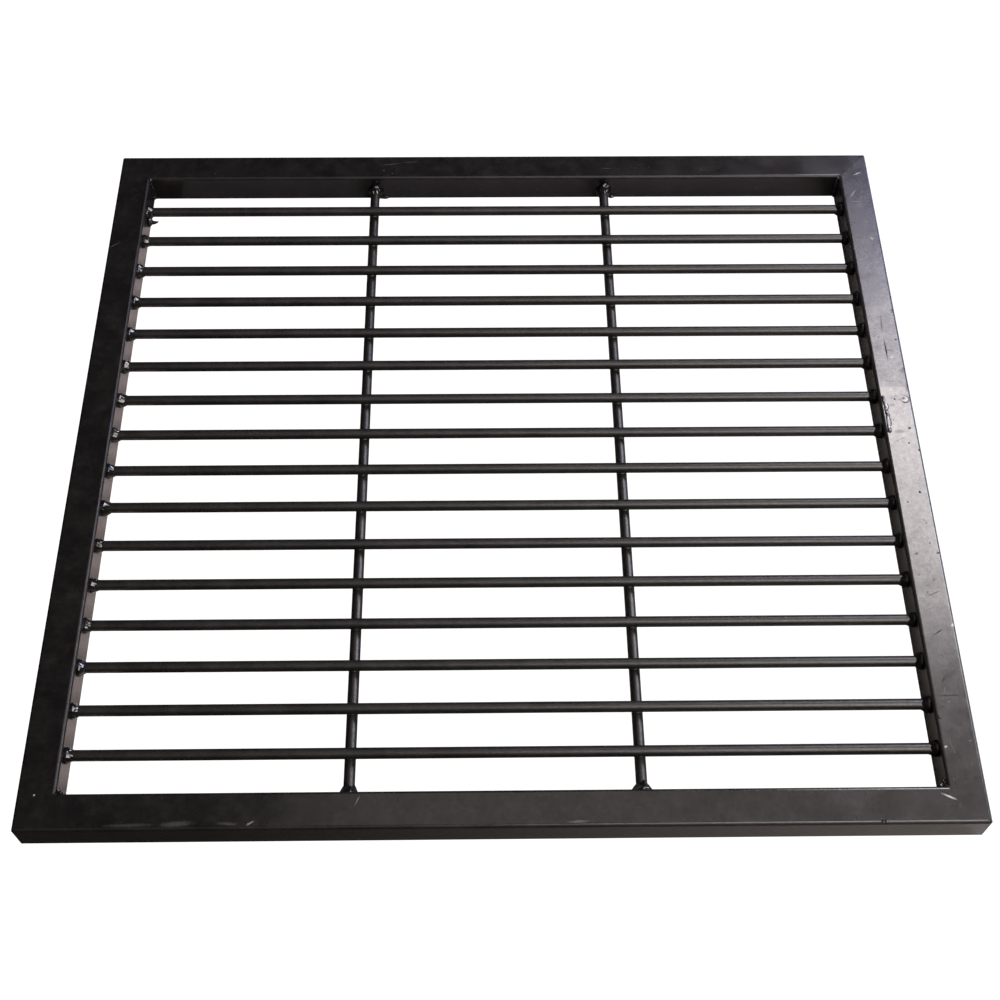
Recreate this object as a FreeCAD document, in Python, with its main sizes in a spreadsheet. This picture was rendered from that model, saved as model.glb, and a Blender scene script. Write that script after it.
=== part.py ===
import FreeCAD, Part
import os

import Sketcher

# A welded steel grate for a fire pit: four mitred square-tube rails, sixteen round cross rods
# and two round support rods under them. The two layers of rods touch half way up the tube.
# +Z is up, X runs along the cross rods, Y runs from the front rail to the back rail, and the
# origin is the centre of the underside. All in millimetres.

SHEET = "Dims"

DIMENSIONS = [
    ("width", 787.4, "outside of the frame along X, 31 in"),
    ("depth", 736.6, "outside of the frame along Y, 29 in"),
    ("tube", 31.75, "side of the square tube, 1-1/4 in"),
    ("wall", 2.1, "wall of the tube, 14 gauge"),
    ("edge_radius", 3.0, "outside radius of the tube's long edges"),
    ("mitre_gap", 1.0, "each rail's mitre stands back this far for the weld"),
    ("overcut", 4.0, "how far a mitre cut runs past the tube"),
    ("rod_dia", 9.525, "round bar of the rods, 3/8 in"),
    ("rod_pitch", 40.0, "between the axes of two cross rods"),
    ("support_spacing", 242.0, "between the axes of the two support rods"),
    ("support_shift", -6.0, "middle of the two support rods from the middle of the frame"),
    ("bead_leg", 1.8, "how far the weld at a rod's end spreads over the rail"),
    ("bead_reach", 6.0, "how far the weld at a rod's end reaches along the rod"),
    ("bead_tip", 0.5, "height of that weld's far edge over the rod"),
    ("flash_ring", 3.2, "ring radius of the weld where a cross rod meets a support rod"),
    ("flash_wire", 1.5, "section radius of that ring"),
]

CROSS_ROD_COUNT = 16
LEFT, RIGHT = -1, 1
FRONT, BACK = -1, 1
TOLERANCE = 1e-4
X_AXIS, Y_AXIS, Z_AXIS = 0, 1, 2

QUARTER_TURN = 90
EIGHTH_TURN = 45
ALONG_X = FreeCAD.Rotation(FreeCAD.Vector(0, 1, 0), QUARTER_TURN)
AGAINST_X = FreeCAD.Rotation(FreeCAD.Vector(0, 1, 0), -QUARTER_TURN)
ALONG_Y = FreeCAD.Rotation(FreeCAD.Vector(1, 0, 0), -QUARTER_TURN)
AGAINST_Y = FreeCAD.Rotation(FreeCAD.Vector(1, 0, 0), QUARTER_TURN)
BETWEEN_RODS = FreeCAD.Rotation(FreeCAD.Vector(0, 0, 1), EIGHTH_TURN)

HALF_WIDTH = f"{SHEET}.width / 2"
HALF_DEPTH = f"{SHEET}.depth / 2"
HALF_TUBE = f"{SHEET}.tube / 2"
INNER_X = f"({HALF_WIDTH} - {SHEET}.tube)"
INNER_Y = f"({HALF_DEPTH} - {SHEET}.tube)"
BORE = f"({SHEET}.tube - 2 * {SHEET}.wall)"
ROD_RADIUS = f"{SHEET}.rod_dia / 2"
CONTACT_HEIGHT = HALF_TUBE
ROD_AXIS = f"{CONTACT_HEIGHT} + {ROD_RADIUS}"
SUPPORT_AXIS = f"{CONTACT_HEIGHT} - {ROD_RADIUS}"


def make_sheet(doc):
    """Write the driving dimensions, each cell with its own alias."""
    sheet = doc.addObject("Spreadsheet::Sheet", SHEET)
    for row, (alias, value, note) in enumerate(DIMENSIONS, start=1):
        sheet.set(f"A{row}", alias)
        sheet.set(f"B{row}", str(value))
        sheet.set(f"C{row}", note)
        sheet.setAlias(f"B{row}", alias)
    doc.recompute()


def bind(thing, rules):
    """Bind several properties of one object to expressions."""
    for name, rule in rules.items():
        thing.setExpression(name, rule)


def place(thing, x_rule, y_rule, z_rule, rotation):
    """Turn an object, then bind its position."""
    thing.Placement = FreeCAD.Placement(FreeCAD.Vector(), rotation)
    bind(thing, {
        "Placement.Base.x": x_rule,
        "Placement.Base.y": y_rule,
        "Placement.Base.z": z_rule,
    })


def cross_rod_y(number):
    """Rule for the Y of a cross rod's axis; the rods are numbered from the back."""
    steps_from_middle = (CROSS_ROD_COUNT + 1) / 2 - number
    return f"{steps_from_middle} * {SHEET}.rod_pitch"


def support_x(side):
    """Rule for the X of a support rod's axis."""
    return f"{SHEET}.support_shift + {side} * {SHEET}.support_spacing / 2"


def origin_plane(body, role):
    """The body's own origin plane with this role."""
    return next(item for item in body.Origin.OriginFeatures if item.Role == role)


def add_sketch(body, role, name):
    """Add a sketch on one of the body's own origin planes."""
    sketch = body.newObject("Sketcher::SketchObject", name)
    sketch.AttachmentSupport = [(origin_plane(body, role), "")]
    sketch.MapMode = "FlatFace"
    return sketch


def add_size(sketch, name, constraint, rule):
    """Add a named driving constraint and bind it to the sheet."""
    index = sketch.addConstraint(constraint)
    sketch.renameConstraint(index, name)
    sketch.setExpression(f"Constraints.{name}", rule)


def add_loop(sketch, corners):
    """Draw a closed loop of lines through the corners and return the first line's index."""
    first = sketch.GeometryCount
    points = [FreeCAD.Vector(x, y, 0) for x, y in corners]
    count = len(points)
    for step in range(count):
        line = Part.LineSegment(points[step], points[(step + 1) % count])
        sketch.addGeometry(line, False)
    for step in range(count):
        following = first + (step + 1) % count
        sketch.addConstraint(Sketcher.Constraint("Coincident", first + step, 2, following, 1))
    return first


def add_rectangle(sketch, name, across_rule, upward_rule):
    """Draw a rectangle centred on the sketch's origin, with both sides bound to the sheet."""
    bottom = add_loop(sketch, [(-1, -1), (1, -1), (1, 1), (-1, 1)])
    right, top, left = bottom + 1, bottom + 2, bottom + 3
    for line in (bottom, top):
        sketch.addConstraint(Sketcher.Constraint("Horizontal", line))
    for line in (right, left):
        sketch.addConstraint(Sketcher.Constraint("Vertical", line))
    sketch.addConstraint(Sketcher.Constraint("Symmetric", bottom, 1, right, 2, -1, 1))
    across = Sketcher.Constraint("DistanceX", bottom, 1, bottom, 2, 2)
    upward = Sketcher.Constraint("DistanceY", right, 1, right, 2, 2)
    add_size(sketch, f"{name}_across", across, across_rule)
    add_size(sketch, f"{name}_upward", upward, upward_rule)


def add_mitre_triangle(sketch, length_rule):
    """Draw the corner that a 45-degree mitre takes off the rail's +X end, on its +Y side."""
    upright = add_loop(sketch, [(2, -1), (2, 1), (0, 1)])
    level = upright + 1
    leg_rule = f"{SHEET}.tube + 2 * {SHEET}.overcut"
    setback = f"{SHEET}.mitre_gap * sqrt(2)"
    sketch.addConstraint(Sketcher.Constraint("Vertical", upright))
    sketch.addConstraint(Sketcher.Constraint("Horizontal", level))
    across = Sketcher.Constraint("DistanceX", level, 2, level, 1, 2)
    upward = Sketcher.Constraint("DistanceY", upright, 1, upright, 2, 2)
    end = Sketcher.Constraint("DistanceX", -1, 1, level, 1, 2)
    side = Sketcher.Constraint("DistanceY", -1, 1, level, 1, 1)
    add_size(sketch, "leg_across", across, leg_rule)
    add_size(sketch, "leg_upward", upward, leg_rule)
    add_size(sketch, "corner_end", end, f"{length_rule} / 2 - {setback} + {SHEET}.overcut")
    add_size(sketch, "corner_side", side, f"{HALF_TUBE} + {SHEET}.overcut")


def edges_along(feature, axis, offsets):
    """Names of the feature's edges along an axis that lie at these distances from the others."""
    names = []
    for number, edge in enumerate(feature.Shape.Edges, start=1):
        ends = [vertex.Point for vertex in edge.Vertexes]
        runs_along = abs(ends[0][axis] - ends[-1][axis]) > TOLERANCE
        in_place = all(
            abs(abs(end[other]) - offset) < TOLERANCE
            for end in ends
            for other, offset in offsets.items()
        )
        if runs_along and in_place:
            names.append(f"Edge{number}")
    return names


def add_fillet(body, name, base, edges, radius_rule):
    """Round the named edges of the feature before."""
    fillet = body.newObject("PartDesign::Fillet", name)
    fillet.Base = (base, edges)
    fillet.setExpression("Radius", radius_rule)
    body.Document.recompute()
    return fillet


def add_pad(body, name, sketch, length_rule):
    """Pad a sketch the same way to both sides."""
    pad = body.newObject("PartDesign::Pad", name)
    pad.Profile = sketch
    pad.SideType = "Symmetric"
    pad.setExpression("Length", length_rule)
    body.Document.recompute()
    return pad


def make_rail(doc, label, length_rule):
    """Make one rail: hollow square tube along its own X, mitred so that its -Y side is longer."""
    body = doc.addObject("PartDesign::Body", label)
    section = add_sketch(body, "YZ_Plane", f"{label}_section")
    add_rectangle(section, "outside", f"{SHEET}.tube", f"{SHEET}.tube")
    add_rectangle(section, "bore", BORE, BORE)
    pad = add_pad(body, f"{label}_pad", section, length_rule)

    sheet = doc.getObject(SHEET)
    outer, inner = sheet.tube / 2, sheet.tube / 2 - sheet.wall
    edges = edges_along(pad, X_AXIS, {Y_AXIS: outer, Z_AXIS: outer})
    outside = add_fillet(body, f"{label}_outer_edges", pad, edges, f"{SHEET}.edge_radius")
    edges = edges_along(outside, X_AXIS, {Y_AXIS: inner, Z_AXIS: inner})
    bore_radius = f"{SHEET}.edge_radius - {SHEET}.wall"
    bore = add_fillet(body, f"{label}_bore_edges", outside, edges, bore_radius)

    plan = add_sketch(body, "XY_Plane", f"{label}_mitre")
    add_mitre_triangle(plan, length_rule)
    cut = body.newObject("PartDesign::Pocket", f"{label}_mitre_cut")
    cut.Profile = plan
    cut.Type = "ThroughAll"
    cut.SideType = "Symmetric"
    doc.recompute()
    other_end = body.newObject("PartDesign::Mirrored", f"{label}_other_mitre")
    other_end.Originals = [cut]
    other_end.MirrorPlane = (origin_plane(body, "YZ_Plane"), [""])
    body.Tip = other_end
    doc.recompute()
    if not other_end.Shape.Volume < cut.Shape.Volume < bore.Shape.Volume:
        raise RuntimeError(f"{label}: a mitre cut removed nothing")
    return body


def make_frame(doc):
    """Make the four rails and put each one in its place round the frame."""
    offset_x = f"{HALF_WIDTH} - {HALF_TUBE}"
    offset_y = f"{HALF_DEPTH} - {HALF_TUBE}"
    layout = [
        ("frame_rail_front", f"{SHEET}.width", "0", f"-({offset_y})", 0),
        ("frame_rail_back", f"{SHEET}.width", "0", offset_y, 2 * QUARTER_TURN),
        ("frame_rail_left", f"{SHEET}.depth", f"-({offset_x})", "0", -QUARTER_TURN),
        ("frame_rail_right", f"{SHEET}.depth", offset_x, "0", QUARTER_TURN),
    ]
    rails = []
    for label, length_rule, x_rule, y_rule, turn in layout:
        rail = make_rail(doc, label, length_rule)
        rotation = FreeCAD.Rotation(FreeCAD.Vector(0, 0, 1), turn)
        place(rail, x_rule, y_rule, HALF_TUBE, rotation)
        rails.append(rail)
    return rails


def make_corner_weld(doc, label, side, end):
    """Make the seam that fills one mitre: a thin hollow frame of weld, ground flush."""
    body = doc.addObject("PartDesign::Body", label)
    section = add_sketch(body, "XZ_Plane", f"{label}_section")
    add_rectangle(section, "outside", f"{SHEET}.tube * sqrt(2)", f"{SHEET}.tube")
    add_rectangle(section, "bore", f"{BORE} * sqrt(2)", BORE)
    pad = add_pad(body, f"{label}_pad", section, f"2 * {SHEET}.mitre_gap")

    sheet = doc.getObject(SHEET)
    offsets = {X_AXIS: sheet.tube / 2 ** 0.5, Z_AXIS: sheet.tube / 2}
    edges = edges_along(pad, Y_AXIS, offsets)
    add_fillet(body, f"{label}_edges", pad, edges, f"{SHEET}.edge_radius")

    inward = f"({HALF_TUBE} + {SHEET}.mitre_gap / sqrt(2))"
    turn = EIGHTH_TURN * side * end
    rotation = FreeCAD.Rotation(FreeCAD.Vector(0, 0, 1), turn)
    x_rule = f"{side} * ({HALF_WIDTH} - {inward})"
    y_rule = f"{end} * ({HALF_DEPTH} - {inward})"
    place(body, x_rule, y_rule, HALF_TUBE, rotation)
    return body


def make_corner_welds(doc):
    """Make the four mitre seams."""
    corners = [
        ("corner_weld_front_left", LEFT, FRONT),
        ("corner_weld_front_right", RIGHT, FRONT),
        ("corner_weld_back_left", LEFT, BACK),
        ("corner_weld_back_right", RIGHT, BACK),
    ]
    return [make_corner_weld(doc, label, side, end) for label, side, end in corners]


def make_rod(doc, label, length_rule):
    """Make one straight round bar along its own Z."""
    rod = doc.addObject("Part::Cylinder", label)
    bind(rod, {"Radius": ROD_RADIUS, "Height": length_rule})
    return rod


def make_cross_rods(doc):
    """Make the cross rods, butted between the left and right rails."""
    rods = []
    for number in range(1, CROSS_ROD_COUNT + 1):
        rod = make_rod(doc, f"cross_rod_{number:02d}", f"2 * {INNER_X}")
        place(rod, f"-{INNER_X}", cross_rod_y(number), ROD_AXIS, ALONG_X)
        rods.append(rod)
    return rods


def make_support_rods(doc):
    """Make the two rods that run under the cross rods, from the front rail to the back rail."""
    rods = {}
    for name, side in (("left", LEFT), ("right", RIGHT)):
        rod = make_rod(doc, f"support_rod_{name}", f"2 * {INNER_Y}")
        place(rod, support_x(side), f"-{INNER_Y}", SUPPORT_AXIS, ALONG_Y)
        rods[side] = rod
    return rods


def make_group(doc, label, links):
    """Gather separate solids into one sub-part."""
    group = doc.addObject("Part::Compound", label)
    group.Links = links
    return group


def make_cut(doc, name, base, tools):
    """Cut one shape after another away from a base shape."""
    for number, tool in enumerate(tools, start=1):
        cut = doc.addObject("Part::Cut", f"{name}_cut_{number}")
        cut.Base = base
        cut.Tool = tool
        base = cut
    return base


def make_bead(doc, name, x_rule, y_rule, z_rule, rotation):
    """Make the cone of weld metal round the end of a rod, wide at the rail."""
    bead = doc.addObject("Part::Cone", name)
    bind(bead, {
        "Radius1": f"{ROD_RADIUS} + {SHEET}.bead_leg",
        "Radius2": f"{ROD_RADIUS} + {SHEET}.bead_tip",
        "Height": f"{SHEET}.bead_reach",
    })
    place(bead, x_rule, y_rule, z_rule, rotation)
    return bead


def make_cross_rod_welds(doc, cross_rods):
    """Make the welds at both ends of the cross rods, one node at the left and one at the right."""
    nodes = []
    for name, side, rotation in (("left", LEFT, ALONG_X), ("right", RIGHT, AGAINST_X)):
        x_rule = f"{side} * {INNER_X}"
        welds = []
        for number, rod in enumerate(cross_rods, start=1):
            bead_name = f"{name}_bead_{number:02d}"
            bead = make_bead(doc, bead_name, x_rule, cross_rod_y(number), ROD_AXIS, rotation)
            welds.append(make_cut(doc, bead_name, bead, [rod]))
        nodes.append(make_group(doc, f"cross_rod_welds_{name}", welds))
    return nodes


def make_support_rod_welds(doc, support_rods):
    """Make the humps of weld over both ends of the support rods."""
    nodes = []
    for name, end, rotation in (("front", FRONT, ALONG_Y), ("back", BACK, AGAINST_Y)):
        y_rule = f"{end} * {INNER_Y}"
        welds = []
        for side, rod in support_rods.items():
            bead_name = f"{name}_bead_{len(welds) + 1}"
            bead = make_bead(doc, bead_name, support_x(side), y_rule, SUPPORT_AXIS, rotation)
            welds.append(make_cut(doc, bead_name, bead, [rod]))
        nodes.append(make_group(doc, f"support_rod_welds_{name}", welds))
    return nodes


def make_crossing_welds(doc, cross_rods, support_rods):
    """Make the ring of weld round each spot where a cross rod rests on a support rod."""
    nodes = []
    for name, side in (("left", LEFT), ("right", RIGHT)):
        welds = []
        for number, rod in enumerate(cross_rods, start=1):
            ring_name = f"{name}_ring_{number:02d}"
            ring = doc.addObject("Part::Torus", ring_name)
            bind(ring, {"Radius1": f"{SHEET}.flash_ring", "Radius2": f"{SHEET}.flash_wire"})
            y_rule = cross_rod_y(number)
            place(ring, support_x(side), y_rule, CONTACT_HEIGHT, BETWEEN_RODS)
            welds.append(make_cut(doc, ring_name, ring, [rod, support_rods[side]]))
        nodes.append(make_group(doc, f"crossing_welds_{name}", welds))
    return nodes


def check_document(doc, nodes):
    """Stop if any object failed or any sub-part has no sound shape."""
    for thing in doc.Objects:
        if "Invalid" in thing.State or "Error" in thing.State:
            raise RuntimeError(f"{thing.Label} failed: {thing.State}")
        if thing.TypeId == "Part::Cut" and not thing.Shape.Volume < thing.Base.Shape.Volume:
            raise RuntimeError(f"{thing.Label} removed nothing")
    for node in nodes:
        if node.Shape.isNull() or not node.Shape.isValid() or not node.Shape.Solids:
            raise RuntimeError(f"{node.Label} has no valid solid")


def main():
    """Build the document, check it and write one STEP file for each sub-part."""
    doc = FreeCAD.newDocument("fire_pit_grate")
    make_sheet(doc)
    cross_rods = make_cross_rods(doc)
    support_rods = make_support_rods(doc)
    nodes = make_frame(doc) + make_corner_welds(doc)
    nodes += cross_rods + list(support_rods.values())
    nodes += make_cross_rod_welds(doc, cross_rods)
    nodes += make_support_rod_welds(doc, support_rods)
    nodes += make_crossing_welds(doc, cross_rods, support_rods)
    doc.recompute()
    check_document(doc, nodes)
    os.makedirs("parts", exist_ok=True)
    for node in nodes:
        node.Shape.exportStep(f"parts/{node.Label}.step")


main()
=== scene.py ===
import math
import random

import bmesh
import bpy
from mathutils import Matrix, Vector, noise


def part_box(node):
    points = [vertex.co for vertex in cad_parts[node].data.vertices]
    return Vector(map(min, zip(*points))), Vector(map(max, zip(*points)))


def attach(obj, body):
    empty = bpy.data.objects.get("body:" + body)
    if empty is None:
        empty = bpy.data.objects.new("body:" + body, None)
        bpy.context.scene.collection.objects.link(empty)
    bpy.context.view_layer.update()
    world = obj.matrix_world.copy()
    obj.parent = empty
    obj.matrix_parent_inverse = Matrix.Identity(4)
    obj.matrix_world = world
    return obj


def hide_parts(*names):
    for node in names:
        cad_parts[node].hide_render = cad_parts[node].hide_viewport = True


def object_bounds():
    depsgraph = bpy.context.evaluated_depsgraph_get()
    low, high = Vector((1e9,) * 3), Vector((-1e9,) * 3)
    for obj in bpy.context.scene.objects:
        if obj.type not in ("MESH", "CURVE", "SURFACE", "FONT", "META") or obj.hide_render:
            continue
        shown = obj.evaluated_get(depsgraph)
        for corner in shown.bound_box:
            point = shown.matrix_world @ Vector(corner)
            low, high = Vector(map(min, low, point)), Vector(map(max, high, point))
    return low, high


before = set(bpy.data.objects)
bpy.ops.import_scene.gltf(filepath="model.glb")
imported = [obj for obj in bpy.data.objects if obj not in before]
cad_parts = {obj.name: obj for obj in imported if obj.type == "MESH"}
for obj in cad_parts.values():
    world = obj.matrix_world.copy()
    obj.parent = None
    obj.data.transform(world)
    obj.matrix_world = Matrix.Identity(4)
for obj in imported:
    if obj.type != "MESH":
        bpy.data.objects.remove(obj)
cad_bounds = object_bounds()

MM = 0.001

# The camera stands in front of the grate and looks down on it.
CAMERA_PLACE = Vector((-0.0144, -0.7618, 1.1726))
CAMERA_AIM = Vector((0.0008, -0.0513, 0.0159))
CAMERA_ROLL = math.radians(0.67)
CAMERA_LENS = 53.02
SENSOR_WIDTH = 36.0

# The studio's softboxes: name, place, direction faced, width, height, glow, colour.
DOWN = (0.0, 0.0, -1.0)
SOFTBOXES = [
    ("key", (1.32, 1.02, 1.5), DOWN, 1.16, 0.92, 14.4, (1.0, 0.93, 0.94)),
    ("key_core", (1.04, 1.10, 1.48), DOWN, 0.52, 0.36, 6.5, (1.0, 0.93, 0.90)),
    ("sky", (1.7, 1.60, 1.5), DOWN, 1.3, 0.3, 7.0, (0.18, 0.50, 2.6)),
    ("overhead", (0.45, 0.25, 1.5), DOWN, 1.6, 0.9, 0.95, (1.0, 0.90, 0.89)),
    ("front_right", (1.15, -1.1, 1.9), (-0.3, 0.5, -0.8), 1.6, 1.6, 11.0, (1.0, 0.94, 0.89)),
    ("front_left", (-1.2, -1.6, 1.8), (0.45, 0.6, -0.66), 1.8, 1.2, 0.3, (1.0, 0.95, 0.93)),
    ("side", (1.95, 0.85, 1.15), (-1.0, -0.4, -0.6), 0.8, 0.6, 16.0, (0.88, 0.92, 1.1)),
]

# The grate's own places, read from the frame.
HALF_WIDTH, HALF_DEPTH, _ = Vector(cad_bounds[1])
ROD_NAMES = [f"cross_rod_{number:02d}" for number in range(1, 17)]
SUPPORT_NAMES = ["support_rod_left", "support_rod_right"]
RAIL_NAMES = [f"frame_rail_{side}" for side in ("front", "back", "left", "right")]
CORNER_NAMES = [
    f"corner_weld_{end}_{side}" for end in ("front", "back") for side in ("left", "right")
]
CROSSING_NAMES = ["crossing_welds_left", "crossing_welds_right"]


def centre(name):
    """Middle of a CAD node's box."""
    low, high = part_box(name)
    return (Vector(low) + Vector(high)) / 2


def size(name):
    """Size of a CAD node's box."""
    low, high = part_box(name)
    return Vector(high) - Vector(low)


TUBE = size("frame_rail_front").z
ROD_RADIUS = size(ROD_NAMES[0]).y / 2
INNER_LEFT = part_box(ROD_NAMES[0])[0][0]
INNER_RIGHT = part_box(ROD_NAMES[0])[1][0]
INNER_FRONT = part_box(SUPPORT_NAMES[0])[0][1]
INNER_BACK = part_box(SUPPORT_NAMES[0])[1][1]

# Marks rubbed or scratched into the paint on top of the rails:
# place in metres, turn in degrees, length, width and strength.
RAIL_MARKS = [
    # the left rail
    ((-0.387, 0.246), 36, 15 * MM, 1.2 * MM, 0.20),
    ((-0.379, -0.338), 0, 2.4 * MM, 2.4 * MM, 0.90),
    # the back rail
    ((-0.110, 0.356), 8, 26 * MM, 1.5 * MM, 0.12),
    ((-0.090, 0.359), 5, 22 * MM, 1.2 * MM, 0.10),
    ((-0.117, 0.347), 0, 2.0 * MM, 2.0 * MM, 0.25),
    ((-0.108, 0.343), 0, 1.8 * MM, 1.8 * MM, 0.20),
    ((0.118, 0.349), -4, 14 * MM, 1.0 * MM, 0.12),
    # the back right corner
    ((0.382, 0.340), 26, 11 * MM, 1.8 * MM, 0.80),
    ((0.3730, 0.3114), 55, 19 * MM, 0.9 * MM, 0.80),
    ((0.3768, 0.3010), 3, 20 * MM, 0.8 * MM, 0.25),
    ((0.3768, 0.2967), 3, 22 * MM, 0.8 * MM, 0.25),
    ((0.3764, 0.2939), 3, 20 * MM, 0.8 * MM, 0.25),
    ((0.3846, 0.2499), -49, 5.4 * MM, 1.6 * MM, 0.60),
    # the right rail
    ((0.3870, 0.0487), 0, 9.0 * MM, 8.0 * MM, 0.50),
    ((0.3822, 0.0985), 20, 5.0 * MM, 3.4 * MM, 0.35),
    ((0.372, -0.023), -31, 18 * MM, 0.7 * MM, 0.16),
    ((0.384, -0.032), -28, 13 * MM, 0.7 * MM, 0.14),
    ((0.391, -0.191), 70, 5 * MM, 3.0 * MM, 0.80),
    ((0.366, -0.303), 20, 3.4 * MM, 2.6 * MM, 0.90),
    ((0.3615, -0.3458), -26, 15 * MM, 2.2 * MM, 1.0),
    # the front rail, most of them along its front edge
    ((-0.300, -0.3640), 1, 56 * MM, 4.0 * MM, 0.06),
    ((-0.262, -0.3632), 4, 34 * MM, 6.0 * MM, 0.09),
    ((-0.221, -0.3635), -3, 22 * MM, 4.0 * MM, 0.08),
    ((-0.203, -0.3630), 30, 9 * MM, 2.4 * MM, 0.45),
    ((-0.118, -0.3450), 66, 12 * MM, 0.9 * MM, 0.40),
    ((0.060, -0.3640), 2, 22 * MM, 3.0 * MM, 0.16),
]

# Dark scratches, scuffs and stains on top of the rails, given like the marks.
RAIL_STAINS = [
    ((0.3779, 0.1405), 85, 30 * MM, 1.5 * MM, 0.80),
    ((0.3776, 0.1080), 90, 34 * MM, 2.2 * MM, 1.00),
    ((0.3810, 0.1068), -14, 14 * MM, 1.6 * MM, 0.70),
    ((0.3700, 0.1100), 30, 14 * MM, 8.0 * MM, 0.22),
    ((0.3893, 0.1199), 0, 3.6 * MM, 3.6 * MM, 0.90),
    ((0.3909, 0.1560), 80, 8.0 * MM, 3.2 * MM, 0.70),
    ((0.3905, 0.0830), 70, 12 * MM, 7.0 * MM, 0.45),
    ((0.3914, 0.0640), 80, 18 * MM, 4.0 * MM, 0.50),
    ((0.3700, 0.0800), 10, 18 * MM, 12 * MM, 0.16),
    ((0.3756, 0.0115), 5, 15 * MM, 6.0 * MM, 0.40),
    ((0.3741, 0.0419), 0, 6.0 * MM, 4.5 * MM, 0.30),
    ((0.3775, 0.0488), 0, 2.6 * MM, 2.6 * MM, 0.60),
    ((0.3720, -0.1000), 40, 30 * MM, 10 * MM, 0.14),
    ((0.3790, -0.1500), 20, 50 * MM, 18 * MM, 0.16),
    ((0.3850, -0.2300), 60, 40 * MM, 14 * MM, 0.16),
    ((0.3851, -0.0883), 0, 2.6 * MM, 2.6 * MM, 0.60),
    ((0.3849, -0.1091), 50, 3.4 * MM, 2.2 * MM, 0.60),
    ((0.3710, -0.1199), 0, 4.2 * MM, 3.4 * MM, 0.70),
    ((0.3903, -0.1195), 20, 4.6 * MM, 3.0 * MM, 0.90),
    ((0.3850, 0.2400), 70, 40 * MM, 12 * MM, 0.18),
    ((0.3720, 0.2000), 20, 24 * MM, 12 * MM, 0.14),
    ((0.3800, -0.1600), 24, 18 * MM, 1.8 * MM, 0.60),
    ((0.3770, -0.1980), 32, 17 * MM, 1.8 * MM, 0.70),
    ((0.3740, -0.2430), 55, 12 * MM, 1.8 * MM, 0.60),
    ((0.3780, -0.2570), 2, 34 * MM, 2.0 * MM, 0.60),
    ((0.0120, -0.3375), 0, 14 * MM, 5.0 * MM, 1.00),
    ((0.0240, -0.3375), 2, 9.0 * MM, 4.5 * MM, 1.00),
]

# Bright metal showing on top of the scar, given like the marks.
SCAR_MARKS = [
    ((0.3680, 0.0425), 88, 14 * MM, 3.0 * MM, 1.00),
    ((0.3674, 0.0215), 88, 22 * MM, 3.4 * MM, 1.00),
]

# Bigger drops of weld in the frame's inside corners: place and radii.
CORNER_DROPS = [
    ((-0.3606, -0.3345, 0.0290), (1.9 * MM, 2.6 * MM, 3.4 * MM)),
    ((-0.3588, -0.3362, 0.0305), (2.6 * MM, 1.6 * MM, 2.0 * MM)),
    ((0.3598, -0.3325, 0.0262), (2.6 * MM, 3.6 * MM, 5.6 * MM)),
    ((0.3570, -0.3354, 0.0300), (2.4 * MM, 1.7 * MM, 2.2 * MM)),
    ((-0.3616, 0.3364, 0.0312), (1.2 * MM, 1.4 * MM, 1.2 * MM)),
]

# Beads of weld spatter stuck to the right rail: place and radius.
RIGHT_RAIL_BEADS = [
    ((0.3771, 0.0488), 0.9 * MM),
    ((0.3861, 0.0154), 1.2 * MM),
    ((0.3830, -0.0015), 0.9 * MM),
    ((0.3915, -0.0094), 1.2 * MM),
    ((0.3846, -0.0554), 1.2 * MM),
    ((0.3719, -0.0660), 0.8 * MM),
    ((0.3657, -0.2766), 1.5 * MM),
    ((0.3080, -0.3662), 1.5 * MM),
    ((0.3050, -0.3664), 1.6 * MM),
]

# Colours of the paint and of what lies on it or shows through it.
RAIL_COLOUR = (0.0052, 0.0045, 0.0045)
ROD_COLOUR = (0.0055, 0.0048, 0.0046)
WELD_COLOUR = (0.0055, 0.0050, 0.0052)
# Painted shade: the right-end weld beads are the same weld as the left ones, made darker because
# they face away from the light.
SHADED_WELD_COLOUR = (0.0022, 0.0019, 0.0019)
DUST_COLOUR = (0.050, 0.046, 0.044, 1.0)
WORN_COLOUR = (0.30, 0.29, 0.30, 1.0)

# How fine each pattern in the paint is, in cycles per metre.
FINENESS = {
    "ripple": 75.0, "mottle": 34.0, "film": 95.0, "grain": 230.0,
    "grit": 330.0, "specks": 380.0, "ragged": 420.0, "peel": 1100.0,
}

# Fine strokes: cells per metre, half a stroke's length and width, share of cells with one.
LONG_STROKES = (40.0, 8.0 * MM, 0.35 * MM, 0.16)
SHORT_STROKES = (90.0, 3.0 * MM, 0.45 * MM, 0.22)

# Shifts that keep the short strokes and the dust film from following other patterns.
STROKE_SHIFT, FILM_SHIFT = 0.37, 1.9

# A mark's depth, how ragged its outline is, and where its strength fades, in its own radii.
MARK_DEPTH, MARK_RAGGED, MARK_FADE = 8.0 * MM, 1.1, (0.70, 1.60)

# The coat's colour ranges between these shares of itself, and is greyer where scored.
DARKER, LIGHTER, SCORED_SHARE, SCORED_GREY = 0.75, 1.35, 2.6, 0.004

# How far its roughness and its gloss level range, and how much rougher a scored place is.
ROUGHNESS_RANGE, SHEEN_RANGE, SCORED_ROUGHER = (-0.035, 0.045), (0.87, 1.13), 0.25

# Bumps in the coat: strength and height.
PEEL_BUMP, RIPPLE_BUMP, STROKE_BUMP = (0.12, 0.05 * MM), (0.5, 0.15 * MM), (0.6, 0.06 * MM)

# Behind this place along the right rail the coat is drier: extra roughness, over this blend.
MATT_BEYOND, MATT_EXTRA, MATT_BLEND = 0.063, 0.06, 1.0 * MM

# How finely the weld metal is drawn, and the range of the seeds that make each bead different.
COLLAR_STEPS, COLLAR_ROWS = 96, 14
SPIKE_STEPS, SPIKE_ROWS = 16, 12
CRATER_STEPS, CRATER_PARTS = 48, 12
LUMP_DETAIL = 4
SEEDS = (0, 40)

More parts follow.
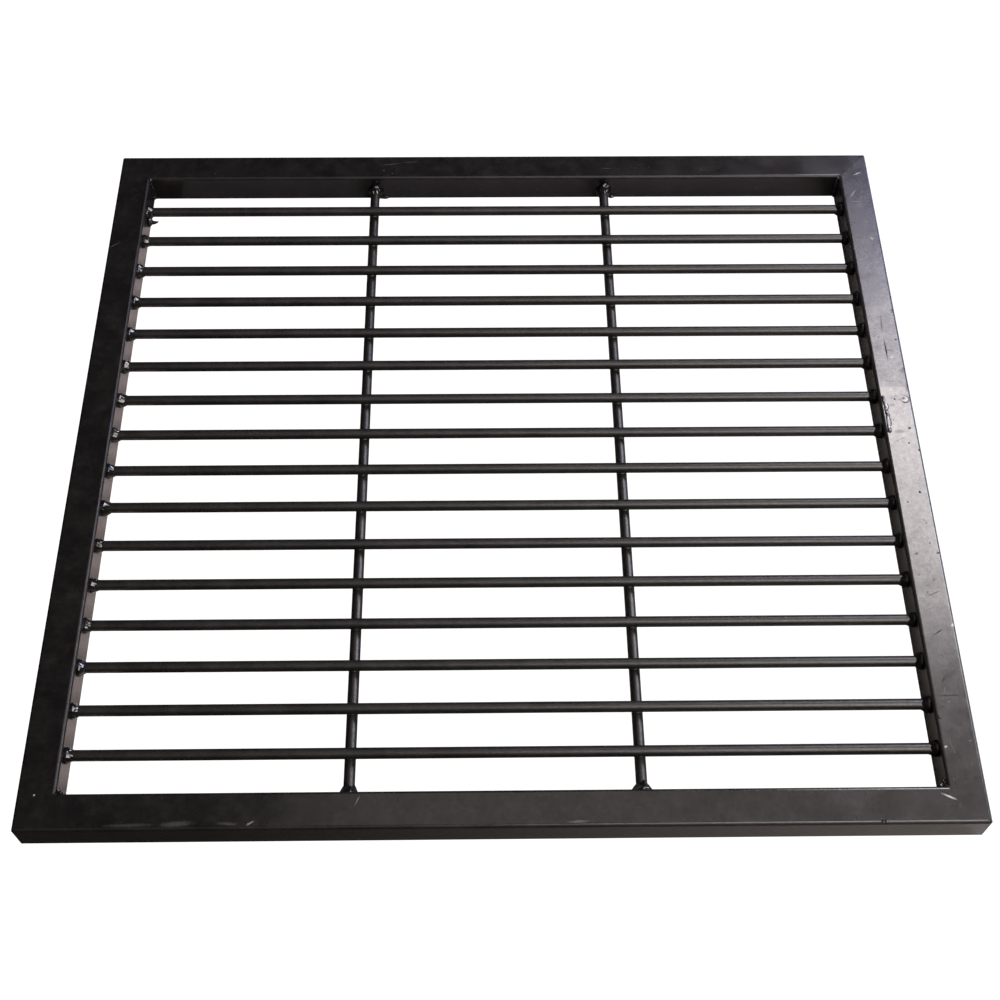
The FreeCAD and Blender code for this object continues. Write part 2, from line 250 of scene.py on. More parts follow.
# How far a drop of weld swells in broad waves, sinks in folds and ripples, in its own radii.
LUMP_SWELL, LUMP_FOLDS, LUMP_RIPPLES = 0.24, 0.20, 0.05

# The collar of weld round a rod's end. It is widest over its first part, the shoulder.
SHOULDER = 0.30
UNEVEN_LEG, UNEVEN_REACH = 0.45, 0.40
RIPPLE, RIPPLE_WAVES, RIPPLE_TWIST = 0.30 * MM, 6.0, 2.6
BLOB_HEIGHT, BLOB_WIDTH, BLOB_PLACE, BLOB_LENGTH = 0.6 * MM, 0.28, 0.35, 0.4
ROD_CLEARANCE = 0.02 * MM
ROOT_SINK, TIP_SINK = 0.5 * MM, 0.5 * ROD_RADIUS
# Nothing hangs lower than this above the frame's underside.
UNDERSIDE = 0.05 * MM

# The cross rods' beads: ranges of height and length in mm.
CROSS_LEG, CROSS_REACH = (1.7, 2.5), (5.4, 6.8)

# The run of metal and the spike that hang at the left end of the back cross rod.
DRIP_PLACE = Vector((1.8, -7.0, -6.5)) * MM
DRIP_RADII = (3.0 * MM, 4.8 * MM, 5.0 * MM)
SPIKE_RUN = Vector((10.0, -2.5, 3.0)) * MM
SPIKE_WIDTH, SPIKE_TIP, SPIKE_SAG, SPIKE_SEED = 2.8 * MM, 0.08 * MM, 1.6 * MM, 3.0

# The support rods' beads, left and right: height and length of each collar.
SUPPORT_BEADS = {
    "front": ((4.4 * MM, 10.5 * MM), (6.0 * MM, 11.5 * MM)),
    "back": ((3.2 * MM, 7.5 * MM), (3.2 * MM, 7.0 * MM)),
}
# The cap on top of each: how far out, up and aside in mm, and radii.
SUPPORT_CAPS = {
    "front": ((2.4, 8.8), (4.0 * MM, 2.8 * MM, 3.4 * MM)),
    "back": ((3.0, 9.6), (4.6 * MM, 4.0 * MM, 3.4 * MM)),
}
CAP_ASIDE = (0.5, 1.5)
# The drops right of the support rods at the back rail: place from the rod's end, and radii.
BACK_DROPS = (
    (Vector((9.0, -0.6, -7.6)) * MM, (5.4 * MM, 1.6 * MM, 2.0 * MM)),
    (Vector((9.0, -1.2, -7.0)) * MM, (3.8 * MM, 1.8 * MM, 2.0 * MM)),
)

# The beads that stand in the inside corners: how many lumps, how far from the walls, where the
# lowest is and how far the rest rise, in tube heights, and their radii, the level ones in mm.
CORNER_LUMPS = 8
CORNER_INSET = 0.6 * MM
CORNER_LOWEST, CORNER_RISE = 0.14, 0.76
CORNER_RADII, CORNER_HEIGHT = (1.4, 2.0), 2.6 * MM

# Loose spatter on the rails: how many beads, how far along and across a rail, as shares of its
# half length and its width, their radii in mm, and how flat they are.
SPATTER_COUNT = 16
SPATTER_ALONG, SPATTER_ACROSS = (-0.95, 0.95), (0.15, 0.85)
SPATTER_RADII = (0.4, 0.8)
SPATTER_FLATNESS = 0.55

# The crater on the right rail: its ring, whose wire is thinnest at the opening and measured in
# mm, and the bead that lies in it.
CRATER_PLACE = (0.3870, 0.0487)
CRATER_RADIUS = 3.9 * MM
CRATER_OPENING = math.radians(135.0)
WIRE_THINNEST, WIRE_GROWTH, WIRE_UNEVEN, WIRE_FLATNESS = 0.10, 0.55, 0.15, 0.7
CRATER_BEAD = Vector((-0.8, 0.8, 0.0)) * MM
CRATER_BEAD_RADII = (1.9 * MM, 1.6 * MM, 0.9 * MM)
CRATER_SEED = 5.0

# The scar on the right rail's inner edge: how many lumps, where it runs along Y, how many mm
# out from the rods' ends it lies, how deep it sinks, and its radii, the level ones in mm.
SCAR_LUMPS = 12
SCAR_BACK, SCAR_FRONT = 0.050, 0.013
SCAR_OUT, SCAR_BULGE, SCAR_STRAY = 4.4, 1.2, (-0.6, 0.6)
SCAR_SINK = 0.3 * MM
SCAR_WIDTH, SCAR_LENGTH, SCAR_HEIGHT = (1.7, 2.5), (3.0, 4.2), 1.1 * MM

# The stage: a glowing white floor and backdrop for the camera alone.
FLOOR_LOW, FLOOR_HIGH = (-6.0, -6.0), (6.0, 6.0)
FLOOR_DEPTH, FLOOR_GLOW = 1.0 * MM, 1.1
BACKDROP_RADIUS = 6.0
WORLD_LIGHT = 0.03
MATT = 0.9

# The board under the grate, that its sides mirror: depth, and where along X it turns pale.
BOARD_DEPTH = 4.0 * MM
BOARD_FADE = (-0.3, 0.65)
# Painted shade: the board's dark left end stands for floor in shadow, as the rails mirror it.
BOARD_PAINTED_SHADE, BOARD_PALE = (0.024, 0.021, 0.019, 1.0), (0.36, 0.33, 0.32, 1.0)

# Plain cards on the board: name, depth, near left and far right corner, colour.
CARDS = [
    # Painted light and shade of the floor as the rails mirror it: the pale left and right cards
    # paint lit floor, the greyer back card the shaded floor by the back rail.
    ("floor_left_card", 2.0 * MM, (-0.375, -0.36), (-0.337, 0.30), (0.56, 0.49, 0.46)),
    ("floor_back_card", 3.0 * MM, (-0.335, 0.25), (0.36, 0.335), (0.20, 0.185, 0.20)),
    ("floor_right_card", 2.0 * MM, (0.396, -0.33), (1.3, 1.3), (0.85, 0.83, 0.85)),
]


# ---------------------------------------------------------------- materials


class Nodes:
    """A small helper that adds and links shader nodes."""

    def __init__(self, material):
        material.use_nodes = True
        self.tree = material.node_tree
        self.tree.nodes.clear()

    def add(self, kind, inputs=None, **settings):
        """Add a node, set its own settings, then fill or link its inputs."""
        node = self.tree.nodes.new(kind)
        for name, value in settings.items():
            setattr(node, name, value)
        for name, value in (inputs or {}).items():
            if isinstance(value, bpy.types.NodeSocket):
                self.tree.links.new(value, node.inputs[name])
            else:
                node.inputs[name].default_value = value
        return node

    def noise(self, vector, scale, detail=3.0, roughness=0.5):
        """Fractal noise over the surface; scale is in cycles per metre."""
        node = self.add(
            "ShaderNodeTexNoise",
            {"Vector": vector, "Scale": scale, "Detail": detail, "Roughness": roughness},
        )
        return node.outputs["Fac"]

    def band(self, value, low, high, bottom=0.0, top=1.0):
        """Map low..high to bottom..top with smooth ends."""
        node = self.add(
            "ShaderNodeMapRange",
            {"Value": value, "From Min": low, "From Max": high, "To Min": bottom, "To Max": top},
            interpolation_type="SMOOTHSTEP",
        )
        return node.outputs["Result"]

    def math(self, operation, first, second=0.0, clamp=False):
        """One arithmetic step."""
        node = self.add("ShaderNodeMath", {0: first, 1: second}, operation=operation)
        node.use_clamp = clamp
        return node.outputs["Value"]

    def mix_colour(self, factor, first, second):
        """Blend two colours."""
        node = self.add("ShaderNodeMix", data_type="RGBA")
        for index, value in ((0, factor), (6, first), (7, second)):
            if isinstance(value, bpy.types.NodeSocket):
                self.tree.links.new(value, node.inputs[index])
            else:
                node.inputs[index].default_value = value
        return node.outputs[2]

    def scaled(self, vector, scale):
        """Stretch texture space."""
        node = self.add("ShaderNodeMapping", {"Vector": vector, "Scale": scale})
        return node.outputs["Vector"]

    def moved(self, vector, shift):
        """Shift texture space, to draw the same pattern differently."""
        node = self.add("ShaderNodeMapping", {"Vector": vector, "Location": (shift, shift, shift)})
        return node.outputs["Vector"]

    def lifted(self, vector):
        """The height above the floor, as a sideways shift, so upright faces get a pattern too."""
        height = self.add("ShaderNodeSeparateXYZ", {"Vector": vector}).outputs["Z"]
        shift = self.math("MULTIPLY", height, 0.7)
        return self.add("ShaderNodeCombineXYZ", {"X": shift, "Y": shift}).outputs["Vector"]

    def bump(self, height, strength, distance, normal=None, invert=False):
        """Raise a pattern in the coat, or sink it if inverted, on top of any earlier bump."""
        inputs = {"Height": height, "Strength": strength, "Distance": distance}
        if normal is not None:
            inputs["Normal"] = normal
        return self.add("ShaderNodeBump", inputs, invert=invert).outputs["Normal"]

    def marks(self, place, marks):
        """Rubbed or scratched places: soft-ended strokes on the top of a rail."""
        total = 0.0
        ragged = self.noise(place, FINENESS["ragged"], 4.0, 0.75)
        for spot, degrees, length, width, strength in marks:
            local = self.add(
                "ShaderNodeMapping",
                {
                    "Vector": place,
                    "Location": (*spot, TUBE),
                    "Rotation": (0.0, 0.0, math.radians(degrees)),
                    "Scale": (length / 2, width / 2, MARK_DEPTH),
                },
                vector_type="TEXTURE",
            ).outputs["Vector"]
            far = self.add("ShaderNodeVectorMath", {0: local}, operation="LENGTH").outputs["Value"]
            far = self.math("ADD", far, self.math("MULTIPLY", ragged, MARK_RAGGED))
            total = self.math("MAXIMUM", total, self.band(far, *MARK_FADE, strength, 0.0))
        return total


def fine_strokes(nodes, place, density, half_length, half_width, share):
    """Scattered short straight scratches, one in each chosen cell of a cell pattern."""
    flat = nodes.add(
        "ShaderNodeVectorMath",
        {0: place, 1: (1.0, 1.0, 0.0), 2: nodes.lifted(place)},
        operation="MULTIPLY_ADD",
    ).outputs["Vector"]
    cells = nodes.add(
        "ShaderNodeTexVoronoi", {"Vector": flat, "Scale": density}, voronoi_dimensions="2D"
    )
    local = nodes.add(
        "ShaderNodeVectorMath", {0: flat, 1: cells.outputs["Position"]}, operation="SUBTRACT"
    ).outputs["Vector"]
    chance = nodes.add("ShaderNodeSeparateColor", {"Color": cells.outputs["Color"]})
    turn = nodes.math("MULTIPLY", chance.outputs["Red"], math.tau)
    turned = nodes.add(
        "ShaderNodeVectorRotate", {"Vector": local, "Angle": turn}, rotation_type="Z_AXIS"
    ).outputs["Vector"]
    stretched = nodes.scaled(turned, (1.0 / half_length, 1.0 / half_width, 0.0))
    far = nodes.add("ShaderNodeVectorMath", {0: stretched}, operation="LENGTH").outputs["Value"]
    chosen = nodes.band(chance.outputs["Green"], 1.0 - share, 1.0 - share + 0.02)
    return nodes.math("MULTIPLY", nodes.band(far, 0.35, 1.0, 1.0, 0.0), chosen)


def dull_edges(nodes):
    """1 on the rounded edges of the square tube, where the coat is thin and dull, else 0."""
    facing = nodes.add("ShaderNodeTexCoord").outputs["Normal"]
    turned = nodes.add("ShaderNodeVectorMath", {0: facing}, operation="ABSOLUTE").outputs["Vector"]
    parts = nodes.add("ShaderNodeSeparateXYZ", {"Vector": turned})
    flat = nodes.math("MAXIMUM", parts.outputs["X"], parts.outputs["Y"])
    flat = nodes.math("MAXIMUM", flat, parts.outputs["Z"])
    return nodes.band(flat, 0.90, 0.995, 1.0, 0.0)


def paint_material(name, colour, roughness, wear, dust=0.0, marks=(), matt_beyond=None,
                   stains=(), edges=0.0, sheen=0.5):
    """Satin black paint on steel: faint mottling, orange peel, scratches and rubbed places.

    Wear is how strongly the fine strokes show, and dust how much of it lies on the coat.
    Marks are rubbed pale and stains are dark. Behind matt_beyond, a place along Y, the coat
    is drier and so more matt. The rounded edges of a square tube are duller by the amount
    given, and sheen is the gloss coat's level.
    """
    material = bpy.data.materials.new(name)
    nodes = Nodes(material)
    place = nodes.add("ShaderNodeTexCoord").outputs["Object"]

    mottle = nodes.noise(place, FINENESS["mottle"], 4.0, 0.6)
    grain = nodes.noise(place, FINENESS["grain"], 3.0, 0.6)
    peel = nodes.noise(place, FINENESS["peel"], 2.0)
    ripple = nodes.noise(place, FINENESS["ripple"], 3.0)

    fine = nodes.math(
        "MAXIMUM",
        fine_strokes(nodes, place, *LONG_STROKES),
        fine_strokes(nodes, nodes.moved(place, STROKE_SHIFT), *SHORT_STROKES),
    )
    fine = nodes.math("MULTIPLY", fine, wear)
    specks = nodes.band(nodes.noise(place, FINENESS["specks"], 1.0), 0.80, 0.84, 0.0, wear)
    scored = nodes.math("MAXIMUM", fine, specks, clamp=True)
    rubbed = nodes.marks(place, marks)

    dark = [part * DARKER for part in colour] + [1.0]
    light = [part * LIGHTER for part in colour] + [1.0]
    dulled = [part * SCORED_SHARE + SCORED_GREY for part in colour] + [1.0]
    base = nodes.mix_colour(nodes.band(mottle, 0.3, 0.7), dark, light)
    film = nodes.noise(nodes.moved(place, FILM_SHIFT), FINENESS["film"], 5.0, 0.7)
    base = nodes.mix_colour(nodes.band(film, 0.40, 0.85, 0.0, dust), base, DUST_COLOUR)
    base = nodes.mix_colour(scored, base, dulled)
    base = nodes.mix_colour(rubbed, base, WORN_COLOUR)

    uneven = nodes.math("ADD", nodes.math("MULTIPLY", grain, 0.5), mottle)
    smoothest, roughest = (roughness + change for change in ROUGHNESS_RANGE)
    rough = nodes.band(uneven, 0.45, 1.05, smoothest, roughest)
    rough = nodes.math("ADD", rough, nodes.math("MULTIPLY", scored, SCORED_ROUGHER))
    if matt_beyond is not None:
        along = nodes.add("ShaderNodeSeparateXYZ", {"Vector": place}).outputs["Y"]
        near, far = matt_beyond - MATT_BLEND, matt_beyond + MATT_BLEND
        dry = nodes.band(along, near, far, 0.0, MATT_EXTRA)
        rough = nodes.math("ADD", rough, dry)
    duller = nodes.math("MULTIPLY", dull_edges(nodes), edges)
    rough = nodes.math("ADD", rough, duller)

    grit = nodes.noise(place, FINENESS["grit"], 5.0, 0.8)
    level = nodes.band(grit, 0.36, 0.64, *(sheen * share for share in SHEEN_RANGE))
    dimmed = nodes.math("SUBTRACT", 1.0, nodes.math("MULTIPLY", duller, 2.0))
    level = nodes.math("MULTIPLY", level, dimmed)
    if stains:
        clean = nodes.math("SUBTRACT", 1.0, nodes.marks(place, stains))
        level = nodes.math("MULTIPLY", level, clean)

    normal = nodes.bump(peel, *PEEL_BUMP)
    normal = nodes.bump(ripple, *RIPPLE_BUMP, normal)
    normal = nodes.bump(scored, *STROKE_BUMP, normal, invert=True)

    shader = nodes.add(
        "ShaderNodeBsdfPrincipled",
        {"Base Color": base, "Roughness": rough, "Normal": normal, "IOR": 1.5,
         "Specular IOR Level": level},
    )
    nodes.add("ShaderNodeOutputMaterial", {"Surface": shader.outputs["BSDF"]})
    return material


def plain_material(name, colour, strength=0.0):
    """A plain matt stage colour, or a glowing one."""
    material = bpy.data.materials.new(name)
    nodes = Nodes(material)
    if strength:
        shader = nodes.add("ShaderNodeEmission", {"Color": (*colour, 1.0), "Strength": strength})
        surface = shader.outputs["Emission"]
    else:
        shader = nodes.add(
            "ShaderNodeBsdfPrincipled", {"Base Color": (*colour, 1.0), "Roughness": MATT}
        )
        surface = shader.outputs["BSDF"]
    nodes.add("ShaderNodeOutputMaterial", {"Surface": surface})
    return material


def board_material():
    """The board that the grate lies on: pale at its right end, and darker at its left as painted
    shade.
    """
    material = bpy.data.materials.new("floor_board")
    nodes = Nodes(material)
    place = nodes.add("ShaderNodeTexCoord").outputs["Object"]
    across = nodes.add("ShaderNodeSeparateXYZ", {"Vector": place}).outputs["X"]
    colour = nodes.mix_colour(nodes.band(across, *BOARD_FADE), BOARD_PAINTED_SHADE, BOARD_PALE)
    shader = nodes.add("ShaderNodeBsdfPrincipled", {"Base Color": colour, "Roughness": MATT})
    nodes.add("ShaderNodeOutputMaterial", {"Surface": shader.outputs["BSDF"]})
    return material


def dress(thing, material):
    """Give every material slot of an object the same material."""
    if not thing.material_slots:
        thing.data.materials.append(material)
    for entry in thing.material_slots:
        entry.material = material


# ---------------------------------------------------------------- weld beads


def make_lump(mesh, middle, radii, seed):
    """Add one lumpy drop of weld metal: a ball with folds and ripples."""
    made = bmesh.ops.create_icosphere(mesh, subdivisions=LUMP_DETAIL, radius=1.0)
    offset = Vector((seed * 3.7, seed * 1.3, seed * 2.9))
    for vertex in made["verts"]:
        way = vertex.co.normalized()
        broad = noise.noise(way * 1.4 + offset)
        folds = abs(noise.noise(way * 3.0 + offset * 2.0))
        fine = noise.noise(way * 7.0 + offset)
        swell = 1.0 + LUMP_SWELL * broad - LUMP_FOLDS * folds + LUMP_RIPPLES * fine
        vertex.co = Vector((way[axis] * radii[axis] * swell + middle[axis] for axis in range(3)))


def sweep_rings(mesh, rings):
    """Join rings of points into one closed skin."""
    loops = [[mesh.verts.new(point) for point in ring] for ring in rings]
    around = len(loops[0])
    for near, far in zip(loops, loops[1:]):
        for step in range(around):
            following = (step + 1) % around
            mesh.faces.new((near[step], near[following], far[following], far[step]))
    mesh.faces.new(list(reversed(loops[0])))
    mesh.faces.new(loops[-1])


def make_collar(mesh, root, along, leg, reach, seed):
    """Add the bead round a rod's end: wide on the rail, rippled, and falling to the rod."""
    up = Vector((0.0, 0.0, 1.0))
    side = up.cross(along)
    blob_turn = 0.5 * math.sin(seed * 5.0)
    rings = []
    for row in range(COLLAR_ROWS + 1):
        run = row / COLLAR_ROWS
        ring = []
        for step in range(COLLAR_STEPS):
            turn = math.tau * step / COLLAR_STEPS
            spot = Vector((math.cos(turn), math.sin(turn), 0.0))
            leg_noise = noise.noise(spot * 1.3 + Vector((seed, 0.0, run)))
            reach_noise = noise.noise(spot * 1.1 + Vector((0.0, seed, 7.0)))
            ripple = abs(math.sin(turn * RIPPLE_WAVES + run * RIPPLE_TWIST + seed * 3.0))
            blob = math.exp(-((math.sin((turn - blob_turn) / 2) / BLOB_WIDTH) ** 2))
            blob *= math.exp(-(((run - BLOB_PLACE) / BLOB_LENGTH) ** 2))
            rise = leg * (1.0 + UNEVEN_LEG * leg_noise)
            rise *= min(1.0, (1.0 - run) / (1.0 - SHOULDER))
            rise += RIPPLE * (1.0 - ripple) * min(1.0, 4.0 * (1.0 - run))
            rise += BLOB_HEIGHT * blob
            radius = ROD_RADIUS + ROD_CLEARANCE + rise
            outward = up * math.cos(turn) + side * math.sin(turn)
            out = reach * (1.0 + UNEVEN_REACH * reach_noise) * run
            point = root + along * out + outward * radius
            point.z = max(point.z, UNDERSIDE)
            ring.append(point)
        rings.append(ring)
    ends = []
    for ring, sink in ((rings[0], ROOT_SINK), (rings[-1], TIP_SINK)):
        inner = [point.lerp(root + along * (point - root).dot(along), 0.5) for point in ring]
        ends.append([point - along * sink for point in inner])
    sweep_rings(mesh, [ends[0], *rings, ends[1]])


def make_spike(mesh, root, tip, width, seed):
    """Add a thin run of metal that ends in a point."""
    along = (tip - root).normalized()
    side = along.orthogonal().normalized()
    other = along.cross(side)
    rings = []
    for row in range(SPIKE_ROWS + 1):
        run = row / SPIKE_ROWS
        middle = root.lerp(tip, run) - Vector((0.0, 0.0, SPIKE_SAG * math.sin(math.pi * run)))
        radius = width * (1.0 - run) ** 0.7 + SPIKE_TIP
        radius *= 1.0 + 0.3 * noise.noise(Vector((run * 4.0, seed, 0.0)))
        rings.append([
            middle + (side * math.cos(turn) + other * math.sin(turn)) * radius
            for turn in (math.tau * step / SPIKE_STEPS for step in range(SPIKE_STEPS))
        ])
    sweep_rings(mesh, rings)


def finish_piece(mesh, name, material, replaced=None):
    """Turn a mesh into one smooth piece that rides on the grate."""
    bmesh.ops.recalc_face_normals(mesh, faces=mesh.faces)
    data = bpy.data.meshes.new(name)
    mesh.to_mesh(data)
    mesh.free()
    data.polygons.foreach_set("use_smooth", [True] * len(data.polygons))
    thing = bpy.data.objects.new(name, data)
    bpy.context.scene.collection.objects.link(thing)
    dress(thing, material)
    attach(thing, "root")
    if replaced:
        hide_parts(replaced)


def make_cross_rod_welds(material, side):
    """Make the beads that join the cross rods' ends to the left or the right rail."""
    draw = random.Random(f"{side} rail")
    wall = INNER_LEFT if side == "left" else INNER_RIGHT
    along = Vector((1.0 if side == "left" else -1.0, 0.0, 0.0))
    mesh = bmesh.new()
    for number, rod in enumerate(ROD_NAMES):
        axis = centre(rod)
        root = Vector((wall, axis.y, axis.z))
        leg = draw.uniform(*CROSS_LEG) * MM
        reach = draw.uniform(*CROSS_REACH) * MM
        make_collar(mesh, root, along, leg, reach, draw.uniform(*SEEDS))
        if side == "left" and number == 0:
            drip = root + DRIP_PLACE
            make_lump(mesh, drip, DRIP_RADII, draw.uniform(*SEEDS))
            make_spike(mesh, drip, drip + SPIKE_RUN, SPIKE_WIDTH, SPIKE_SEED)
    finish_piece(mesh, f"weld_beads_{side}", material, f"cross_rod_welds_{side}")


def make_support_welds(material, end):
    """Make the beads that join the support rods' ends to the front or the back rail."""
    draw = random.Random(f"{end} rail")
    wall = INNER_FRONT if end == "front" else INNER_BACK
    along = Vector((0.0, 1.0 if end == "front" else -1.0, 0.0))
    mesh = bmesh.new()
    (cap_out, cap_up), cap_radii = SUPPORT_CAPS[end]
    roots = [Vector((centre(rod).x, wall, centre(rod).z)) for rod in SUPPORT_NAMES]
    for root, (leg, reach) in zip(roots, SUPPORT_BEADS[end]):
        make_collar(mesh, root, along, leg, reach, draw.uniform(*SEEDS))
        aside = Vector((draw.uniform(*CAP_ASIDE), 0.0, cap_up)) * MM
        make_lump(mesh, root + along * cap_out * MM + aside, cap_radii, draw.uniform(*SEEDS))
    if end == "back":
        for root, (offset, radii) in zip(roots, BACK_DROPS):
            make_lump(mesh, root + offset, radii, draw.uniform(*SEEDS))
    finish_piece(mesh, f"weld_humps_{end}", material, f"support_rod_welds_{end}")


def make_corner_beads(material):
    """Make the upright beads of weld left in the frame's inside corners."""
    draw = random.Random("corners")
    mesh = bmesh.new()
    for x_wall, x_in in ((INNER_LEFT, 1.0), (INNER_RIGHT, -1.0)):
        for y_wall, y_in in ((INNER_FRONT, 1.0), (INNER_BACK, -1.0)):
            for step in range(CORNER_LUMPS):
                x, y = x_wall + x_in * CORNER_INSET, y_wall + y_in * CORNER_INSET
                z = TUBE * (CORNER_LOWEST + CORNER_RISE * step / (CORNER_LUMPS - 1))
                level = [draw.uniform(*CORNER_RADII) * MM for _ in range(2)]
                make_lump(mesh, (x, y, z), (*level, CORNER_HEIGHT), draw.uniform(*SEEDS))
    for middle, radii in CORNER_DROPS:
        make_lump(mesh, middle, radii, draw.uniform(*SEEDS))
    finish_piece(mesh, "corner_beads", material)


def make_spatter(material):
    """Make the small beads of spatter that are stuck to the rails and painted over."""
    draw = random.Random("spatter")
    mesh = bmesh.new()
    beads = list(RIGHT_RAIL_BEADS)
    for _ in range(SPATTER_COUNT):
        along = draw.uniform(*SPATTER_ALONG)
        across = draw.uniform(*SPATTER_ACROSS) * TUBE
        on_side_rail = draw.random() < 0.5
        sign = draw.choice((-1.0, 1.0))
        if on_side_rail:
            spot = (sign * (HALF_WIDTH - across), along * HALF_DEPTH)
        else:
            spot = (along * HALF_WIDTH, sign * (HALF_DEPTH - across))
        beads.append((spot, draw.uniform(*SPATTER_RADII) * MM))
    for spot, radius in beads:
        radii = (radius, radius, radius * SPATTER_FLATNESS)
        make_lump(mesh, (*spot, TUBE), radii, draw.uniform(*SEEDS))
    finish_piece(mesh, "spatter_beads", material)


def make_crater(material):
    """Make the small ring of metal, with a bead in it, on the right rail."""
    middle = Vector((*CRATER_PLACE, TUBE))
    mesh = bmesh.new()
    rings = []
    for step in range(CRATER_STEPS + 1):
        turn = math.tau * step / CRATER_STEPS
        outward = Vector((math.cos(turn), math.sin(turn), 0.0))
        closed = 0.5 - 0.5 * math.cos(turn - CRATER_OPENING)
        uneven = WIRE_UNEVEN * noise.noise(outward * 1.7)
        wire = (WIRE_THINNEST + WIRE_GROWTH * closed + uneven) * MM
        rings.append([
            middle + outward * (CRATER_RADIUS + wire * math.cos(bend))
            + Vector((0.0, 0.0, WIRE_FLATNESS * wire * math.sin(bend)))
            for bend in (math.tau * part / CRATER_PARTS for part in range(CRATER_PARTS))
        ])
    sweep_rings(mesh, rings)
    bmesh.ops.remove_doubles(mesh, verts=mesh.verts, dist=0.001 * MM)
    make_lump(mesh, middle + CRATER_BEAD, CRATER_BEAD_RADII, CRATER_SEED)
    finish_piece(mesh, "weld_crater", material)


def make_scar(material):
    """Make the run of burnt, blistered metal on the right rail's inner edge."""
    draw = random.Random("scar")
    mesh = bmesh.new()
    for step in range(SCAR_LUMPS):
        run = step / (SCAR_LUMPS - 1)
        bulge = math.sin(math.pi * (0.15 + 0.75 * run))
        middle = (
            INNER_RIGHT + (SCAR_OUT + SCAR_BULGE * bulge + draw.uniform(*SCAR_STRAY)) * MM,
            SCAR_BACK + (SCAR_FRONT - SCAR_BACK) * run,
            TUBE - SCAR_SINK + SCAR_SINK * bulge,
        )
        width, length = draw.uniform(*SCAR_WIDTH) * MM, draw.uniform(*SCAR_LENGTH) * MM
        make_lump(mesh, middle, (width, length, SCAR_HEIGHT), draw.uniform(*SEEDS))
    finish_piece(mesh, "weld_scar", material)


# ---------------------------------------------------------------- stage


def add_camera():
    """Put the camera at its place, aim it and roll it."""
    data = bpy.data.cameras.new("camera")
    data.lens = CAMERA_LENS
    data.sensor_width = SENSOR_WIDTH
    camera = bpy.data.objects.new("camera", data)
    aim = (CAMERA_AIM - CAMERA_PLACE).to_track_quat("-Z", "Y").to_matrix().to_4x4()
    roll = Matrix.Rotation(CAMERA_ROLL, 4, "Z")
    camera.matrix_world = Matrix.Translation(CAMERA_PLACE) @ aim @ roll
    bpy.context.scene.collection.objects.link(camera)
    bpy.context.scene.camera = camera


def add_softbox(name, place, facing, width, height, glow, colour):
    """Add one rectangular studio light; glow is its radiance, whatever its area."""
    data = bpy.data.lights.new(name, "AREA")
    data.shape = "RECTANGLE"
    data.size = width
    data.size_y = height
    data.energy = glow * math.pi * width * height
    data.color = colour
    light = bpy.data.objects.new(name, data)
    light.location = place
    light.rotation_euler = Vector(facing).to_track_quat("-Z", "Y").to_euler()
    bpy.context.scene.collection.objects.link(light)


def add_floor(name, depth, low, high, material):
    """Add one level sheet of floor."""
    mesh = bmesh.new()
    corners = [low, (high[0], low[1]), high, (low[0], high[1])]
    mesh.faces.new([mesh.verts.new((x, y, -depth)) for x, y in corners])
    data = bpy.data.meshes.new(name)
    mesh.to_mesh(data)
    mesh.free()
    floor = bpy.data.objects.new(name, data)
    bpy.context.scene.collection.objects.link(floor)
    dress(floor, material)
    return floor


def show_only_to_camera(thing):
    """Keep a glowing stage piece from lighting the grate."""
    thing.visible_diffuse = False
    thing.visible_glossy = False
    thing.visible_shadow = False


def add_backdrop(material):
    """Put a plain round wall behind the floor's edge, for views from low down."""
    mesh = bmesh.new()
    bmesh.ops.create_uvsphere(mesh, u_segments=64, v_segments=32, radius=BACKDROP_RADIUS)
    under = [face for face in mesh.faces if face.calc_center_median().z < 0.0]
    bmesh.ops.delete(mesh, geom=under, context="FACES")
    bmesh.ops.reverse_faces(mesh, faces=mesh.faces)
    data = bpy.data.meshes.new("backdrop")
    mesh.to_mesh(data)
    mesh.free()
    backdrop = bpy.data.objects.new("backdrop", data)
    bpy.context.scene.collection.objects.link(backdrop)
    dress(backdrop, material)
    show_only_to_camera(backdrop)


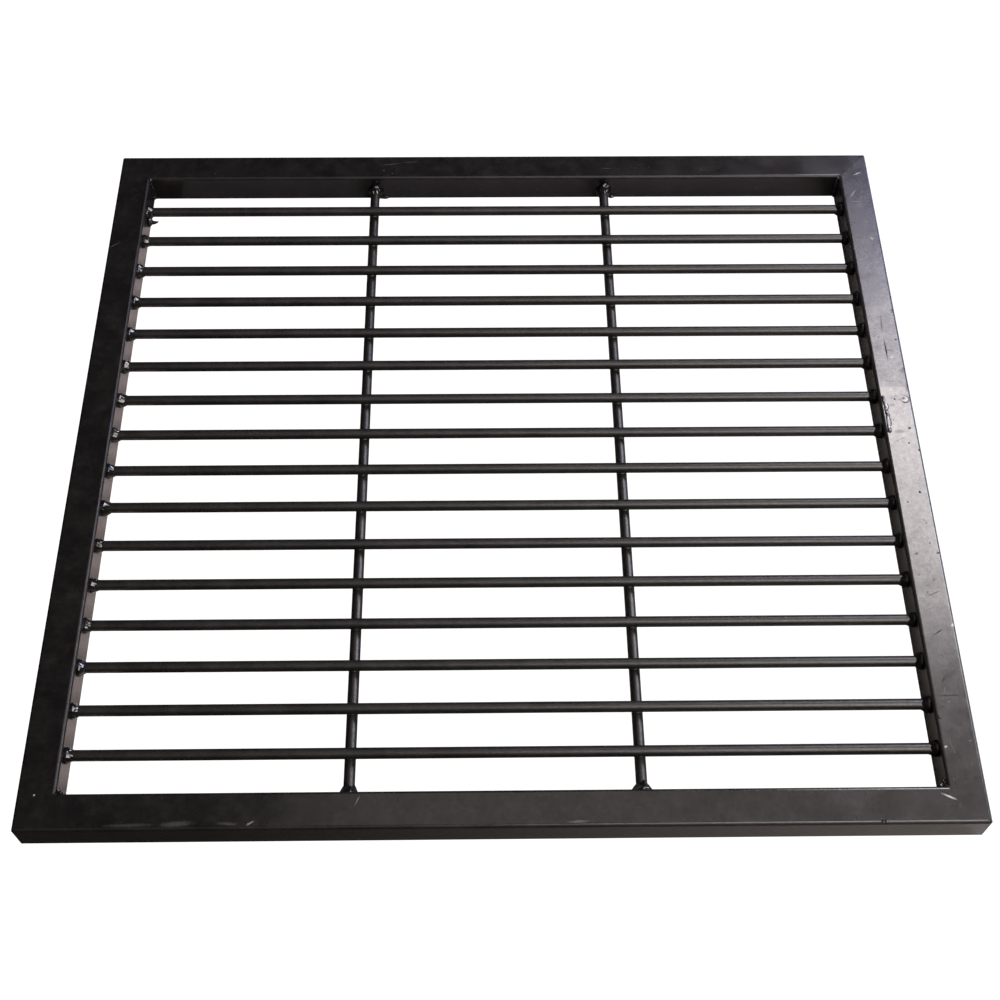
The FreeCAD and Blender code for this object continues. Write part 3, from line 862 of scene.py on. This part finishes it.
def add_stage():
    """Make the pale floor and the studio light."""
    white = plain_material("floor_white", (1.0, 1.0, 1.0), FLOOR_GLOW)
    show_only_to_camera(add_floor("floor", FLOOR_DEPTH, FLOOR_LOW, FLOOR_HIGH, white))
    add_backdrop(white)
    board = board_material()
    # The hidden board and cards, seen only in the grate's reflections, carry painted light and
    # shade of the floor.
    sheets = [add_floor("floor_bounce", BOARD_DEPTH, FLOOR_LOW, FLOOR_HIGH, board)]
    for name, depth, low, high, colour in CARDS:
        sheets.append(add_floor(name, depth, low, high, plain_material(name, colour)))
    for sheet in sheets:
        sheet.visible_camera = False

    for softbox in SOFTBOXES:
        add_softbox(*softbox)

    world = bpy.data.worlds.new("studio")
    world.use_nodes = True
    background = world.node_tree.nodes["Background"]
    background.inputs["Color"].default_value = (1.0, 1.0, 1.0, 1.0)
    background.inputs["Strength"].default_value = WORLD_LIGHT
    bpy.context.scene.world = world
    bpy.context.scene.view_settings.view_transform = "Standard"


# ---------------------------------------------------------------- the grate


def dress_frame_nodes():
    """Give the carried-over CAD nodes their paint, and return the rails' one."""
    rail_paint = paint_material("frame_paint", RAIL_COLOUR, 0.21, 0.2, 0.15, RAIL_MARKS,
                                stains=RAIL_STAINS, edges=0.22)
    right_paint = paint_material("frame_paint_right", RAIL_COLOUR, 0.21, 0.4, 0.22, RAIL_MARKS,
                                 MATT_BEYOND, RAIL_STAINS, edges=0.22)
    rod_paint = paint_material("rod_paint", ROD_COLOUR, 0.40, 0.3, 0.12, sheen=0.38)
    for name in RAIL_NAMES + CORNER_NAMES:
        dress(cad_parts[name], rail_paint)
    dress(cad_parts["frame_rail_right"], right_paint)
    for name in ROD_NAMES + SUPPORT_NAMES + CROSSING_NAMES:
        dress(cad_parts[name], rod_paint)
    return rail_paint


def make_welds(rail_paint):
    """Make the detailed weld beads and the spatter round them."""
    weld_paint = paint_material("weld_paint", WELD_COLOUR, 0.11, 0.1)
    # The right-end beads get a painted-shade copy of the weld paint, darker and less glossy, for
    # beads that face away from the light.
    shaded_weld_paint = paint_material("weld_paint_shaded", SHADED_WELD_COLOUR, 0.45, 0.1, sheen=0.09)
    scar_paint = paint_material("weld_paint_scar", WELD_COLOUR, 0.13, 0.1, marks=SCAR_MARKS)
    for side, paint in (("left", weld_paint), ("right", shaded_weld_paint)):
        make_cross_rod_welds(paint, side)
    for end in ("front", "back"):
        make_support_welds(weld_paint, end)
    make_corner_beads(weld_paint)
    make_scar(scar_paint)
    make_spatter(rail_paint)
    make_crater(rail_paint)


add_camera()
add_stage()
make_welds(dress_frame_nodes())
